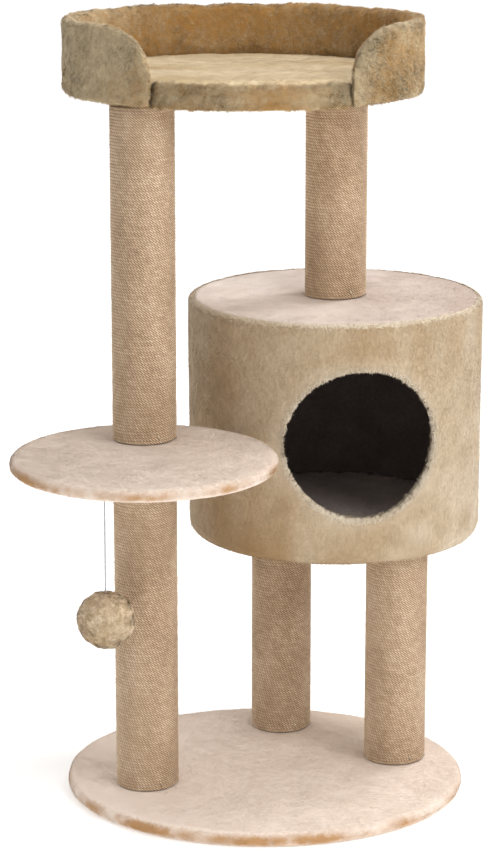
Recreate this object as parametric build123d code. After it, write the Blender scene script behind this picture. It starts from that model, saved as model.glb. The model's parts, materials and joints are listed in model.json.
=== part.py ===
from build123d import *
import os
from math import atan2, cos, degrees, hypot, radians, sin

# A free-standing cat tree, in millimetres.  +Z is up, the front faces -Y, and the
# origin is the centre of the oval base plate, on the floor.
#
# Three rope-wound posts stand on the base.  The left one carries a round perch, and
# goes on above it to the bed.  The other two carry a round cabin with a door, and a
# post on the cabin's roof carries the bed's other side.  A ball hangs under the perch.

# ---- Driving dimensions ----

# Posts: a paper tube wound with sisal rope, plugged at both ends
POST_R = 40.0
ROPE_D = 4.5
TUBE_WALL = 4.0
GLUE = 0.1                  # radial gap left for glue and paint between nested rounds
PLUG_L = 25.0
NUT_R, NUT_L = 6.0, 20.0

# M8 fasteners
SHANK_R = 3.9
HOLE_R = 4.25
HEAD_AF, HEAD_H = 13.0, 5.3
WASHER_R, WASHER_T = 8.0, 1.6
RECESS_R = 9.5
GRIP = 19.0                 # how far a bolt runs into a post's insert nut

# Boards and their covers
SKIN = 3.0                  # plush on a board
BASE_A, BASE_B = 255.0, 229.5
BASE_BOARD_T = 15.0
FELT_T = 1.0
HEM_W = 28.0

LEFT_POST = (-151.0, -51.0)
BACK_POST = (23.5, 164.0)
RIGHT_POST = (171.5, 42.5)

PERCH_CENTRE = (-149.0, -135.0)
PERCH_R = 163.0
PERCH_TOP = 475.0
PERCH_BOARD_T = 12.0
PERCH_SKIN = 2.5

# Cabin: a bent panel round two discs, lined inside and covered outside
CABIN_CENTRE = (92.0, 137.5)
CABIN_BOTTOM, CABIN_TOP = 306.0, 620.0
CABIN_BOARD_R, CABIN_BOARD_T = 180.0, 15.0
PANEL_T = 5.0
LINING_T = 1.5
PLUSH_T = 7.5               # foam and plush outside the panel
CABIN_FOOT_ROUND = 14.0
CABIN_TOP_ROUND = 6.0
CABIN_TURN_IN = 9.0         # how far the side cover turns in under the cabin
MAT_T = 12.0
DOOR_R = 96.0
DOOR_EDGE_T = 3.0
DOOR_Z = 463.5
DOOR_TURN = 9.0             # degrees that the door faces right of the front

# Bed: an oval floor with a padded wall round it, open at the front
BED_CENTRE = (-28.0, 40.0)
BED_A, BED_B = 225.0, 180.0
BED_BOTTOM, BED_TOP = 894.0, 992.0
BED_BOARD_T = 15.0
BED_FOAM_T = 10.0
WALL_IN, WALL_CORE, WALL_OUT = 5.0, 5.0, 6.0
MOUTH_X = (-139.0, 102.0)   # left and right ends of the wall, seen from the front
MOUTH_ROUND = 62.0
LIP_SET = 8.0               # how far the floor's front edge is set back in the opening
BED_FOOT_ROUND = 10.0

# Ball on its cord, under the perch
HANG_XY = (-197.0, -155.0)
EYE_RING_R, EYE_WIRE_R = 4.5, 1.1
LOOP_R = 4.0
CORD_R = 1.0
KNOT_R = 2.8
BALL_Z, BALL_R = 270.5, 36.5
BALL_CORE_R = 13.0
SWING_GAP = 0.3

# ---- Levels and places that follow from them ----

ROPE_R = POST_R - ROPE_D
TUBE_R = ROPE_R - GLUE
BASE_TOP = FELT_T + BASE_BOARD_T + SKIN
PERCH_BOTTOM = PERCH_TOP - PERCH_BOARD_T - 2 * PERCH_SKIN
CABIN_R = CABIN_BOARD_R + PANEL_T + PLUSH_T
CABIN_FLOOR = CABIN_BOTTOM + SKIN + CABIN_BOARD_T
CABIN_CEILING = CABIN_TOP - SKIN - CABIN_BOARD_T
WALL_T = WALL_IN + WALL_CORE + WALL_OUT

# each post: name, place, bottom and top
POSTS = [
    ("left_lower_post", LEFT_POST, BASE_TOP, PERCH_BOTTOM),
    ("left_upper_post", LEFT_POST, PERCH_TOP, BED_BOTTOM),
    ("back_lower_post", BACK_POST, BASE_TOP, CABIN_BOTTOM),
    ("right_lower_post", RIGHT_POST, BASE_TOP, CABIN_BOTTOM),
    ("right_upper_post", CABIN_CENTRE, CABIN_TOP, BED_BOTTOM),
]

os.makedirs("parts", exist_ok=True)


# ---- Shapes that repeat ----

def save(name, *solids):
    """Write one node from its solids."""
    shape = solids[0] if len(solids) == 1 else Compound(children=list(solids))
    shape.label = name
    export_step(shape, f"parts/{name}.step")


def disc(centre, radius, low, high):
    """A round slab or pin between two levels."""
    return Pos(*centre, low) * extrude(Circle(radius), high - low)


def oval(centre, a, b, low, high):
    """An oval slab between two levels."""
    return Pos(*centre, low) * extrude(Ellipse(a, b), high - low)


def ring(centre, inner, outer, low, high):
    """A round sleeve between two levels."""
    return Pos(*centre, low) * extrude(Circle(outer) - Circle(inner), high - low)


def edges_at(shape, level):
    """The shape's edges that lie at one level."""
    return shape.edges().filter_by_position(Axis.Z, level - 0.01, level + 0.01)


def bolt(centre, seat, tip):
    """A hex bolt whose head's inner face is at seat, its shank running to tip."""
    away = -1 if tip > seat else 1
    head = Pos(*centre, min(seat, seat + away * HEAD_H)) * extrude(
        RegularPolygon(HEAD_AF / 2, 6, major_radius=False), HEAD_H)
    return head + disc(centre, SHANK_R, min(seat, tip), max(seat, tip))


def washer(centre, low):
    return ring(centre, HOLE_R, WASHER_R, low, low + WASHER_T)


# ---- Posts ----

def staple(centre, level, azimuth, clearance=0.0):
    """The wire staple that pins a rope end: a crown on the rope and two legs in it."""
    wide, wire = 9.0, 1.0
    crown = Pos(POST_R + wire / 2, 0, 0) * Box(wire, wire, wide)
    leg_l = ROPE_D - 0.2
    legs = [Pos(POST_R - leg_l / 2, 0, s * (wide - wire) / 2)
            * Box(leg_l, wire + clearance, wire + clearance) for s in (-1, 1)]
    tilt = Rot(X=35)
    return Pos(*centre, level) * Rot(Z=azimuth) * tilt * (crown + legs[0] + legs[1])


def staple_places(low, high):
    """Level and azimuth of the staple at each end of a post's rope."""
    return [(low + 9.0, -62.0), (high - 9.0, 118.0)]


def make_posts():
    nuts, staples = [], []
    for name, centre, low, high in POSTS:
        tube = ring(centre, TUBE_R - TUBE_WALL, TUBE_R, low, high)
        sleeve = ring(centre, ROPE_R, POST_R, low, high)
        for level, azimuth in staple_places(low, high):
            sleeve -= staple(centre, level, azimuth, clearance=0.1)
            staples.append(staple(centre, level, azimuth))
        plug_r = TUBE_R - TUBE_WALL - GLUE
        plugs = [ring(centre, NUT_R + GLUE, plug_r, low, low + PLUG_L),
                 ring(centre, NUT_R + GLUE, plug_r, high - PLUG_L, high)]
        nuts += [ring(centre, SHANK_R + GLUE, NUT_R, low, low + NUT_L),
                 ring(centre, SHANK_R + GLUE, NUT_R, high - NUT_L, high)]
        save(f"{name}_tube", tube)
        save(f"{name}_sisal", sleeve)
        save(f"{name}_plugs", *plugs)
    save("post_insert_nuts", *nuts)
    save("rope_staples", *staples)


# ---- Base ----

def make_base():
    feet = [LEFT_POST, BACK_POST, RIGHT_POST]
    board_top = FELT_T + BASE_BOARD_T
    recess_top = FELT_T + HEAD_H + WASHER_T
    edge = SKIN
    board = oval((0, 0), BASE_A - edge, BASE_B - edge, FELT_T, board_top)
    cover = oval((0, 0), BASE_A, BASE_B, 0, BASE_TOP)
    cover = fillet(edges_at(cover, BASE_TOP), 7.0)
    cover = fillet(edges_at(cover, 0), 3.0)
    cover -= oval((0, 0), BASE_A - HEM_W, BASE_B - HEM_W, 0, FELT_T)
    cover -= oval((0, 0), BASE_A - edge, BASE_B - edge, FELT_T, board_top)
    felt = oval((0, 0), BASE_A - HEM_W, BASE_B - HEM_W, 0, FELT_T)
    for foot in feet:
        board -= disc(foot, HOLE_R, FELT_T, board_top)
        board -= disc(foot, RECESS_R, FELT_T, recess_top)
        felt -= disc(foot, RECESS_R, 0, FELT_T)
        cover -= disc(foot, HOLE_R, board_top, BASE_TOP)
    save("base_board", board)
    save("base_cover", cover)
    save("base_felt", felt)
    save("base_bolts", *[bolt(f, FELT_T + HEAD_H, BASE_TOP + GRIP) for f in feet])
    save("base_washers", *[ring(f, HOLE_R, WASHER_R, recess_top - WASHER_T, recess_top)
                           for f in feet])


# ---- Perch ----

def make_perch():
    low, high = PERCH_BOTTOM + PERCH_SKIN, PERCH_TOP - PERCH_SKIN
    board = disc(PERCH_CENTRE, PERCH_R - PERCH_SKIN, low, high)
    board -= disc(LEFT_POST, HOLE_R, low, high)
    board -= disc(HANG_XY, EYE_WIRE_R + 0.05, low, low + 8.0)
    cover = disc(PERCH_CENTRE, PERCH_R, PERCH_BOTTOM, PERCH_TOP)
    cover = fillet(edges_at(cover, PERCH_TOP), 6.0)
    cover = fillet(edges_at(cover, PERCH_BOTTOM), 5.0)
    cover -= disc(PERCH_CENTRE, PERCH_R - PERCH_SKIN, low, high)
    cover -= disc(LEFT_POST, HOLE_R, PERCH_BOTTOM, PERCH_TOP)
    cover -= disc(HANG_XY, EYE_WIRE_R + 0.05, PERCH_BOTTOM, low)
    save("perch_board", board)
    save("perch_cover", cover)
    save("perch_stud", disc(LEFT_POST, SHANK_R, PERCH_BOTTOM - GRIP, PERCH_TOP + GRIP))


# ---- Cabin ----

def door_cut(radius):
    """A round cutter through the cabin's front wall, along the door's axis."""
    start = Pos(*CABIN_CENTRE, DOOR_Z) * Rot(Z=DOOR_TURN) * Pos(0, -CABIN_R / 2, 0)
    return start * Rot(X=90) * extrude(Circle(radius), CABIN_R)


def make_cabin():
    c = CABIN_CENTRE
    board_r = CABIN_BOARD_R - GLUE
    panel_r = CABIN_BOARD_R + PANEL_T
    floor_low, roof_high = CABIN_BOTTOM + SKIN, CABIN_TOP - SKIN
    hole = door_cut(DOOR_R + DOOR_EDGE_T)
    posts = [BACK_POST, RIGHT_POST]
    head_room = HEAD_H + WASHER_T

    floor = disc(c, board_r, floor_low, CABIN_FLOOR)
    bottom = disc(c, panel_r - CABIN_TURN_IN, CABIN_BOTTOM, floor_low)
    for post in posts:
        floor -= disc(post, HOLE_R, floor_low, CABIN_FLOOR)
        floor -= disc(post, RECESS_R, CABIN_FLOOR - head_room, CABIN_FLOOR)
        bottom -= disc(post, HOLE_R, CABIN_BOTTOM, floor_low)
    roof = disc(c, board_r, CABIN_CEILING, roof_high)
    roof -= disc(c, HOLE_R, CABIN_CEILING, roof_high)
    roof -= disc(c, RECESS_R, CABIN_CEILING, CABIN_CEILING + head_room)
    top = disc(c, panel_r, roof_high, CABIN_TOP)
    top -= disc(c, HOLE_R, roof_high, CABIN_TOP)

    wall = ring(c, CABIN_BOARD_R, panel_r, floor_low, roof_high) - hole
    cover = disc(c, CABIN_R, CABIN_BOTTOM, CABIN_TOP)
    cover = fillet(edges_at(cover, CABIN_TOP), CABIN_TOP_ROUND)
    cover = fillet(edges_at(cover, CABIN_BOTTOM), CABIN_FOOT_ROUND)
    cover -= disc(c, panel_r, floor_low, CABIN_TOP)
    cover -= disc(c, panel_r - CABIN_TURN_IN, CABIN_BOTTOM, floor_low)
    cover -= hole
    lining_top = CABIN_CEILING - LINING_T
    lining_r = CABIN_BOARD_R - LINING_T
    lining = ring(c, lining_r, CABIN_BOARD_R, CABIN_FLOOR, lining_top) - hole
    ceiling = disc(c, CABIN_BOARD_R - GLUE, lining_top, CABIN_CEILING)
    ceiling -= disc(c, RECESS_R, lining_top, CABIN_CEILING)
    mat = disc(c, lining_r - 0.5, CABIN_FLOOR, CABIN_FLOOR + MAT_T)
    mat = fillet(edges_at(mat, CABIN_FLOOR + MAT_T), 4.0)
    edge_band = ring(c, lining_r - 1.0, CABIN_R + 1.0, CABIN_BOTTOM, CABIN_TOP)
    edging = edge_band & (door_cut(DOOR_R + DOOR_EDGE_T) - door_cut(DOOR_R))

    save("cabin_floor_board", floor)
    save("cabin_roof_board", roof)
    save("cabin_wall_panel", wall)
    save("cabin_side_cover", cover)
    save("cabin_roof_cover", top)
    save("cabin_underside_cover", bottom)
    save("cabin_wall_lining", lining)
    save("cabin_ceiling_lining", ceiling)
    save("cabin_floor_mat", mat)
    save("cabin_door_edging", edging)
    seat = CABIN_FLOOR - HEAD_H
    save("cabin_floor_bolts", *[bolt(p, seat, CABIN_BOTTOM - GRIP) for p in posts])
    save("cabin_floor_washers", *[washer(p, seat - WASHER_T) for p in posts])
    save("cabin_roof_bolt", bolt(c, CABIN_CEILING + HEAD_H, CABIN_TOP + GRIP))
    save("cabin_roof_washer", washer(c, CABIN_CEILING + HEAD_H))


# ---- Bed ----

def mouth_cut(inset=0.0):
    """A cutter for the wall's open front: upright ends that round off at the top.

    inset makes it larger, for the panel inside the padding.
    """
    left, right = MOUTH_X[0] - inset, MOUTH_X[1] + inset
    r = MOUTH_ROUND
    foot, crest, over = BED_BOTTOM - 1, BED_TOP - inset + 1, BED_TOP + 20
    bend = r * sin(radians(45))
    with BuildSketch(Plane.XZ) as profile:
        with BuildLine():
            Polyline((left, crest - r), (left, foot), (right, foot), (right, crest - r))
            ThreePointArc((right, crest - r), (right + r - bend, crest - r + bend),
                          (right + r, crest))
            Polyline((right + r, crest), (right + r, over), (left - r, over),
                     (left - r, crest))
            ThreePointArc((left - r, crest), (left - r + bend, crest - r + bend),
                          (left, crest - r))
        make_face()
    return Pos(0, BED_CENTRE[1], 0) * extrude(profile.sketch, 400.0)


def bed_oval(inset, low, high):
    """An oval slab, inset from the bed's outline."""
    return oval(BED_CENTRE, BED_A - inset, BED_B - inset, low, high)


def bed_floor(inset, low, high):
    """A slab of the floor's outline, which reaches forward between the wall's ends."""
    left, right = MOUTH_X[0] + inset + GLUE, MOUTH_X[1] - inset - GLUE
    front = Pos((left + right) / 2, BED_CENTRE[1] - 200, (low + high) / 2) * Box(
        right - left, 400, high - low)
    return bed_oval(WALL_T + inset, low, high) + (bed_oval(LIP_SET + inset, low, high) & front)


def make_bed():
    bolted = [LEFT_POST, CABIN_CENTRE]
    core_out, core_in = WALL_OUT, WALL_OUT + WALL_CORE
    board_low = BED_BOTTOM + SKIN
    board_top = board_low + BED_BOARD_T
    foam_top = board_top + BED_FOAM_T
    core_top = BED_TOP - WALL_OUT
    head_room = HEAD_H + WASHER_T
    board = bed_floor(SKIN, board_low, board_top)
    foam = bed_floor(SKIN, board_top, foam_top)
    floor_cover = bed_floor(0, BED_BOTTOM, foam_top + SKIN) - bed_floor(SKIN, board_low, foam_top)
    for post in bolted:
        board -= disc(post, HOLE_R, board_low, board_top)
        board -= disc(post, RECESS_R, board_top - head_room, board_top)
        floor_cover -= disc(post, HOLE_R, BED_BOTTOM, board_low)
    core = bed_oval(core_out, board_low, core_top) - bed_oval(core_in, board_low, core_top)
    core -= mouth_cut(WALL_OUT)
    wall_cover = bed_oval(0, BED_BOTTOM, BED_TOP)
    wall_cover = fillet(edges_at(wall_cover, BED_BOTTOM), BED_FOOT_ROUND)
    wall_cover -= bed_oval(WALL_T, BED_BOTTOM, BED_TOP)
    wall_cover -= core
    wall_cover -= mouth_cut()
    seat = board_top - HEAD_H
    save("bed_board", board)
    save("bed_floor_foam", foam)
    save("bed_floor_cover", floor_cover)
    save("bed_wall_core", core)
    save("bed_wall_cover", wall_cover)
    save("bed_bolts", *[bolt(p, seat, BED_BOTTOM - GRIP) for p in bolted])
    save("bed_washers", *[washer(p, seat - WASHER_T) for p in bolted])


# ---- Ball on its cord ----

def make_ball():
    to_post = degrees(atan2(LEFT_POST[1] - HANG_XY[1], LEFT_POST[0] - HANG_XY[0]))
    place = Pos(*HANG_XY, 0) * Rot(Z=to_post)
    ring_z = PERCH_BOTTOM - EYE_RING_R - EYE_WIRE_R - 1.0
    pivot_z = ring_z - EYE_RING_R
    loop_wire_r = CORD_R - 0.1
    loop_top = pivot_z + EYE_WIRE_R + loop_wire_r + SWING_GAP
    knot_z = loop_top - 2 * LOOP_R - 2.0
    cord_top = knot_z - KNOT_R - SWING_GAP
    end_z = BALL_Z - BALL_CORE_R - 1.0

    stem = disc((0, 0), EYE_WIRE_R, ring_z + EYE_RING_R, PERCH_BOTTOM + PERCH_SKIN + 8.0)
    eye = stem + Pos(0, 0, ring_z) * Rot(X=90) * Torus(EYE_RING_R, EYE_WIRE_R)
    loop = Pos(0, 0, loop_top - LOOP_R) * Rot(Y=90) * Torus(LOOP_R, loop_wire_r)
    loop += Pos(0, 0, knot_z) * Sphere(KNOT_R)
    cord = disc((0, 0), CORD_R, end_z, cord_top)
    end_knot = disc((0, 0), 2.6, end_z - 4.5, end_z)
    end_knot = fillet(end_knot.edges(), 1.2)
    centre = Pos(0, 0, BALL_Z)
    bore = disc((0, 0), CORD_R + 0.1, BALL_Z - BALL_R - 1, BALL_Z + BALL_R + 1)
    core = centre * Sphere(BALL_CORE_R) - bore
    pile = centre * Sphere(BALL_R) - centre * Sphere(BALL_CORE_R + 0.1) - bore
    pile -= Pos(0, 0, end_z - 2.2) * Sphere(4.5)
    save("cord_eye", place * eye)
    save("cord_loop", place * loop)
    save("cord", place * cord)
    save("cord_end_knot", place * end_knot)
    save("ball_core", place * core)
    save("ball_pile", place * pile)
    print("cord length", round(cord_top - end_z, 1))
    print("sideways pivot z", round(pivot_z, 2), "outward pivot z", round(knot_z, 2))
    print("direction to the post", round(to_post, 3))
    reach = hypot(LEFT_POST[0] - HANG_XY[0], LEFT_POST[1] - HANG_XY[1])
    print("ball to post gap", round(reach - POST_R - BALL_R, 1))


make_posts()
make_base()
make_perch()
make_cabin()
make_bed()
make_ball()
gap = hypot(PERCH_CENTRE[0] - CABIN_CENTRE[0], PERCH_CENTRE[1] - CABIN_CENTRE[1])
print("perch to cabin gap", round(gap - PERCH_R - CABIN_R, 1))
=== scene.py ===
# %% [markdown]
# # A cat tree, dressed in sisal and plush
#
# The frame holds the tree as its maker builds it: boards, tubes, bolts, and a plain
# closed solid for each soft part.  This lesson dresses it.  Rope is wound on the
# posts, plush is drawn over the boards, and a ball hangs on its cord.

# %% Load the frame
import bmesh
import bpy
import json
import math
import numpy as np
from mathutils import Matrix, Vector


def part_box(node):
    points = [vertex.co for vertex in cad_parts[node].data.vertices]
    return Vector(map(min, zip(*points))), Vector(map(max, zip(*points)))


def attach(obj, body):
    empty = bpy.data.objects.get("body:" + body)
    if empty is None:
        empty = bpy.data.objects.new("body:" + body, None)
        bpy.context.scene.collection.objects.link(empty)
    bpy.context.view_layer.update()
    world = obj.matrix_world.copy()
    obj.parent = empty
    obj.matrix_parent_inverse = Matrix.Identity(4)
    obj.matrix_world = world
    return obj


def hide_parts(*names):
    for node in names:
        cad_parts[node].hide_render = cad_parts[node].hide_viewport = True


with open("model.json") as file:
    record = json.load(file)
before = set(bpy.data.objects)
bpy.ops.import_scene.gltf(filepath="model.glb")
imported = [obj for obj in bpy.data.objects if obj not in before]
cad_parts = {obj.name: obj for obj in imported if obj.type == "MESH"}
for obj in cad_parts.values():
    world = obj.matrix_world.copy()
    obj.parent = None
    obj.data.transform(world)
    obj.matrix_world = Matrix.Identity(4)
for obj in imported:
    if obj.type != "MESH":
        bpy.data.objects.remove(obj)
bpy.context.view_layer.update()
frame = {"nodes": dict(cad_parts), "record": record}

MM = 0.001

# %% [markdown]
# ## The camera
#
# The tree is a tall narrow object, so a long lens from a few metres keeps its posts
# nearly parallel.  A short lens close by would also frame it, but would make the posts
# lean together.  The camera stands a little above the bed and looks slightly down, so
# that the bed's rim, the perch and the base all show as ovals.

# %% The camera
EYE = Vector((-0.027, -3.4425, 1.3393))
LOOK_DOWN = 0.246            # radians below level
LENS = 117.8                 # millimetres, on a sensor of 36
SENSOR = 36.0

eye_data = bpy.data.cameras.new("tree_camera")
eye_data.lens = LENS
eye_data.sensor_width = SENSOR
eye = bpy.data.objects.new("tree_camera", eye_data)
eye.location = EYE
eye.rotation_euler = (math.pi / 2 - LOOK_DOWN, 0, 0)
bpy.context.scene.collection.objects.link(eye)
bpy.context.scene.camera = eye
print("camera", round(-EYE.y, 2), "m in front,", round(math.degrees(LOOK_DOWN), 1),
      "degrees down")

# %% [markdown]
# ## The cord
#
# A thin elastic cord is tied to a screw eye under the perch and carries the ball.  It
# could be a thin cylinder, but a curve with a round section is what Blender measures as
# a cord.  The ball's weight pulls it straight, so it needs no sag: its route runs from
# the knot down through the ball to the knot beneath its core.

# %% The cord
CORD_THICK = 2 * MM
HANG_X, HANG_Y = -197 * MM, -155 * MM
cord_low, cord_high = (corner[2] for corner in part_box("cord"))
cord_route = [(HANG_X, HANG_Y, cord_high),
              (HANG_X, HANG_Y, (cord_high + cord_low) / 2),
              (HANG_X, HANG_Y, cord_low)]

cord_curve = bpy.data.curves.new("ball_cord", "CURVE")
cord_curve.dimensions = "3D"
cord_curve.bevel_depth = CORD_THICK / 2
cord_curve.bevel_resolution = 3
line = cord_curve.splines.new("NURBS")
line.points.add(len(cord_route) - 1)
for knot, place in zip(line.points, cord_route):
    knot.co = (*place, 1)
line.order_u = 3
line.use_endpoint_u = True
ball_cord = bpy.data.objects.new("ball_cord", cord_curve)
bpy.context.scene.collection.objects.link(ball_cord)
print("cord", round(cord_high - cord_low, 4), "m long")

# %% [markdown]
# ## Noise that is the same each run
#
# Cloth is never quite even.  Value noise gives soft random bumps: each point of a
# lattice gets a number worked out from its place, and the space between is blended.
# Nothing is drawn from a clock, so the tree looks the same each time it is made.

# %% Noise
def uneven(points, size, seed=0):
    """Soft noise from -1 to 1 with a bump about every size metres."""
    place = np.asarray(points) / size + 7.13 * seed
    cell = np.floor(place).astype(np.int64)
    part = place - cell
    part = part * part * (3 - 2 * part)
    total = np.zeros(len(place))
    for corner in np.ndindex(2, 2, 2):
        c = cell + corner
        mixed = c[:, 0] * 374761393 + c[:, 1] * 668265263 + c[:, 2] * 974634777
        mixed = ((mixed ^ (mixed >> 13)) * 1274126177) & 0xFFFFFFFF
        mixed = ((mixed ^ (mixed >> 16)) * 2246822519) & 0xFFFFFFFF
        share = np.prod(np.where(np.array(corner) == 1, part, 1 - part), axis=1)
        total += share * mixed / 0xFFFFFFFF
    return total * 2 - 1


def unit(vectors):
    return vectors / np.maximum(np.linalg.norm(vectors, axis=1, keepdims=True), 1e-12)


def corners(node):
    """A node's lowest and highest corner at rest, as arrays."""
    return tuple(np.array(corner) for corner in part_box(node))


print("noise at three places", np.round(uneven(np.eye(3), 0.3), 2))

# %% [markdown]
# ## Meshes from arrays
#
# Most pieces here have tens of thousands of points.  Building them one vertex at a time
# would be slow, so points and faces go into the mesh as whole arrays.  A piece can carry
# one number per vertex under a name, which its material reads later.

# %% Mesh helpers
def mesh_piece(name, points, faces, smooth=True):
    """An object from arrays of points and of equal-sided faces."""
    mesh = bpy.data.meshes.new(name)
    faces = np.asarray(faces, dtype=np.int32)
    mesh.vertices.add(len(points))
    mesh.vertices.foreach_set("co", np.asarray(points, dtype=np.float32).ravel())
    mesh.loops.add(faces.size)
    mesh.loops.foreach_set("vertex_index", faces.ravel())
    mesh.polygons.add(len(faces))
    mesh.polygons.foreach_set("loop_start", np.arange(len(faces)) * faces.shape[1])
    mesh.update(calc_edges=True)
    mesh.polygons.foreach_set("use_smooth", np.full(len(faces), smooth))
    piece = bpy.data.objects.new(name, mesh)
    bpy.context.scene.collection.objects.link(piece)
    return piece


def paint(piece, name, values):
    """Keep one number per vertex on a piece, for its material to read."""
    layer = piece.data.attributes.new(name, "FLOAT", "POINT")
    layer.data.foreach_set("value", np.asarray(values, dtype=np.float32))


def points_of(piece):
    """A piece's points and point normals."""
    count = len(piece.data.vertices)
    points, normals = np.empty(count * 3), np.empty(count * 3)
    piece.data.vertices.foreach_get("co", points)
    piece.data.vertices.foreach_get("normal", normals)
    return points.reshape(-1, 3), normals.reshape(-1, 3)


def set_points(piece, points):
    piece.data.vertices.foreach_set("co", np.asarray(points, dtype=np.float32).ravel())
    piece.data.update()


def settle(piece):
    """Apply a piece's modifiers."""
    bpy.context.view_layer.update()
    shape = piece.evaluated_get(bpy.context.evaluated_depsgraph_get())
    mesh = bpy.data.meshes.new_from_object(shape)
    piece.modifiers.clear()
    piece.data = mesh


print("frame nodes hold", sum(len(n.data.vertices) for n in frame["nodes"].values()), "points")

# %% [markdown]
# ## Building materials from nodes
#
# Each finish is a node material, so its grain and its mottling are worked out in space
# and need no picture.  A few small helpers add one node each: a number painted on the
# mesh, a noise, a colour ramp, a mix, a sum and a bump.  Values that are the same all
# over, such as roughness, are typed straight into the shader.

# %% Shader, painted numbers and noise
def finish(name, roughness, sheen=0.0, specular=0.3):
    """A new material, with its shader's uniform values set on its own sockets."""
    material = bpy.data.materials.new(name)
    material.use_nodes = True
    shader = material.node_tree.nodes["Principled BSDF"]
    shader.inputs["Roughness"].default_value = roughness
    shader.inputs["Sheen Weight"].default_value = sheen
    shader.inputs["Sheen Roughness"].default_value = 0.45
    shader.inputs["Specular IOR Level"].default_value = specular
    return material, material.node_tree, shader


def number_from(tree, name):
    node = tree.nodes.new("ShaderNodeAttribute")
    node.attribute_name = name
    return node.outputs["Fac"]


def noise_in(tree, scale, detail=2.0, stretch=(1, 1, 1)):
    place = tree.nodes.new("ShaderNodeTexCoord")
    mapping = tree.nodes.new("ShaderNodeMapping")
    mapping.inputs["Scale"].default_value = stretch
    noise = tree.nodes.new("ShaderNodeTexNoise")
    noise.inputs["Scale"].default_value = scale
    noise.inputs["Detail"].default_value = detail
    tree.links.new(place.outputs["Object"], mapping.inputs["Vector"])
    tree.links.new(mapping.outputs["Vector"], noise.inputs["Vector"])
    return noise.outputs["Fac"]


print("noise and painted numbers can be read")

# %% [markdown]
# Noise alone is only a number between 0 and 1.  A ramp turns it into shades, and mixing
# nodes put one layer over another, as a dyer builds up a colour.

# %% Ramps, mixes and bumps
def ramp(tree, value, stops):
    node = tree.nodes.new("ShaderNodeValToRGB")
    while len(node.color_ramp.elements) < len(stops):
        node.color_ramp.elements.new(0.5)
    for element, (place, colour) in zip(node.color_ramp.elements, stops):
        element.position = place
        element.color = (*colour, 1)
    tree.links.new(value, node.inputs["Fac"])
    return node.outputs["Color"]


def blend_of(tree, kind, share, first, second):
    """Mix two colours; share is a number or a socket."""
    node = tree.nodes.new("ShaderNodeMix")
    node.data_type = "RGBA"
    node.blend_type = kind
    for value, socket in ((share, node.inputs[0]), (first, node.inputs[6]),
                          (second, node.inputs[7])):
        if isinstance(value, bpy.types.NodeSocket):
            tree.links.new(value, socket)
        else:
            socket.default_value = value if isinstance(value, float) else (*value, 1)
    return node.outputs[2]


def sums(tree, kind, first, second):
    node = tree.nodes.new("ShaderNodeMath")
    node.operation = kind
    for value, socket in zip((first, second), node.inputs):
        if isinstance(value, bpy.types.NodeSocket):
            tree.links.new(value, socket)
        else:
            socket.default_value = value
    return node.outputs[0]


def bump(tree, shader, height, strength, distance):
    node = tree.nodes.new("ShaderNodeBump")
    node.inputs["Strength"].default_value = strength
    node.inputs["Distance"].default_value = distance
    tree.links.new(height, node.inputs["Height"])
    tree.links.new(node.outputs["Normal"], shader.inputs["Normal"])


def srgb(red, green, blue):
    """A colour as the eye names it, from 0 to 255, as the light that nodes work in."""
    return tuple((c / 255 / 12.92) if c <= 10 else ((c / 255 + 0.055) / 1.055) ** 2.4
                 for c in (red, green, blue))


print("sand becomes", np.round(srgb(214, 197, 170), 2), "in light")

# %% [markdown]
# ## Plush
#
# Plush shows three things at once: the tips catch the light, the base of each blade
# lies in shade, and the pile lies in patches that differ a little.  The geometry carries
# numbers for this: `tip` grows from root to tip and the shade near the cloth is painted
# from it, `tone` differs from tuft to tuft, `warm` says where the cloth looks more golden
# and one more number says where it looks paler.  On some cloths these last two also
# carry painted shade and painted light.  One recipe serves every cloth on the tree, and
# only its shades change.

# %% The plush recipe
STROKE_GRAIN, FINE_GRAIN = 240.0, 500.0     # noise cells in a metre


def plush(name, pale, deep, golden, root_shade=0.86, patch=16.0, brush=(1, 1, 1), depth=0.35):
    """Short pile: mottled between two shades, golden where `warm`, with painted shade near each
    blade's root.
    """
    material, tree, shader = finish(name, 0.95, sheen=0.12, specular=0.12)
    patches = noise_in(tree, patch, 3.0)
    strokes = noise_in(tree, STROKE_GRAIN, 2.0, brush)
    mixed = sums(tree, "ADD", sums(tree, "MULTIPLY", patches, 0.75),
                 sums(tree, "ADD", sums(tree, "MULTIPLY", strokes, 0.45),
                      sums(tree, "MULTIPLY", number_from(tree, "tone"), 0.3)))
    colour = ramp(tree, mixed, [(0.5, deep), (1.0, pale)])
    colour = blend_of(tree, "MIX", number_from(tree, "warm"), colour, golden)
    colour = blend_of(tree, "MIX", number_from(tree, "pale_and_lit"), colour, pale)
    # Painted shade: each blade is darker near the cloth, up to 0.6 of `tip`.
    shade = ramp(tree, number_from(tree, "tip"),
                 [(0.0, (root_shade, root_shade * 0.97, root_shade * 0.93)), (0.6, (1, 1, 1))])
    colour = blend_of(tree, "MULTIPLY", 1.0, colour, shade)
    tree.links.new(colour, shader.inputs["Base Color"])
    bump(tree, shader, noise_in(tree, FINE_GRAIN, 2.0, brush), depth, 0.0012)
    return material


print("plush reads tone, warm, faded and tip")

# %% [markdown]
# The boards are covered in the palest plush, the cabin's side in sand, the bed in a
# longer golden one, and the linings are near black in the shade of the cabin.

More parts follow.
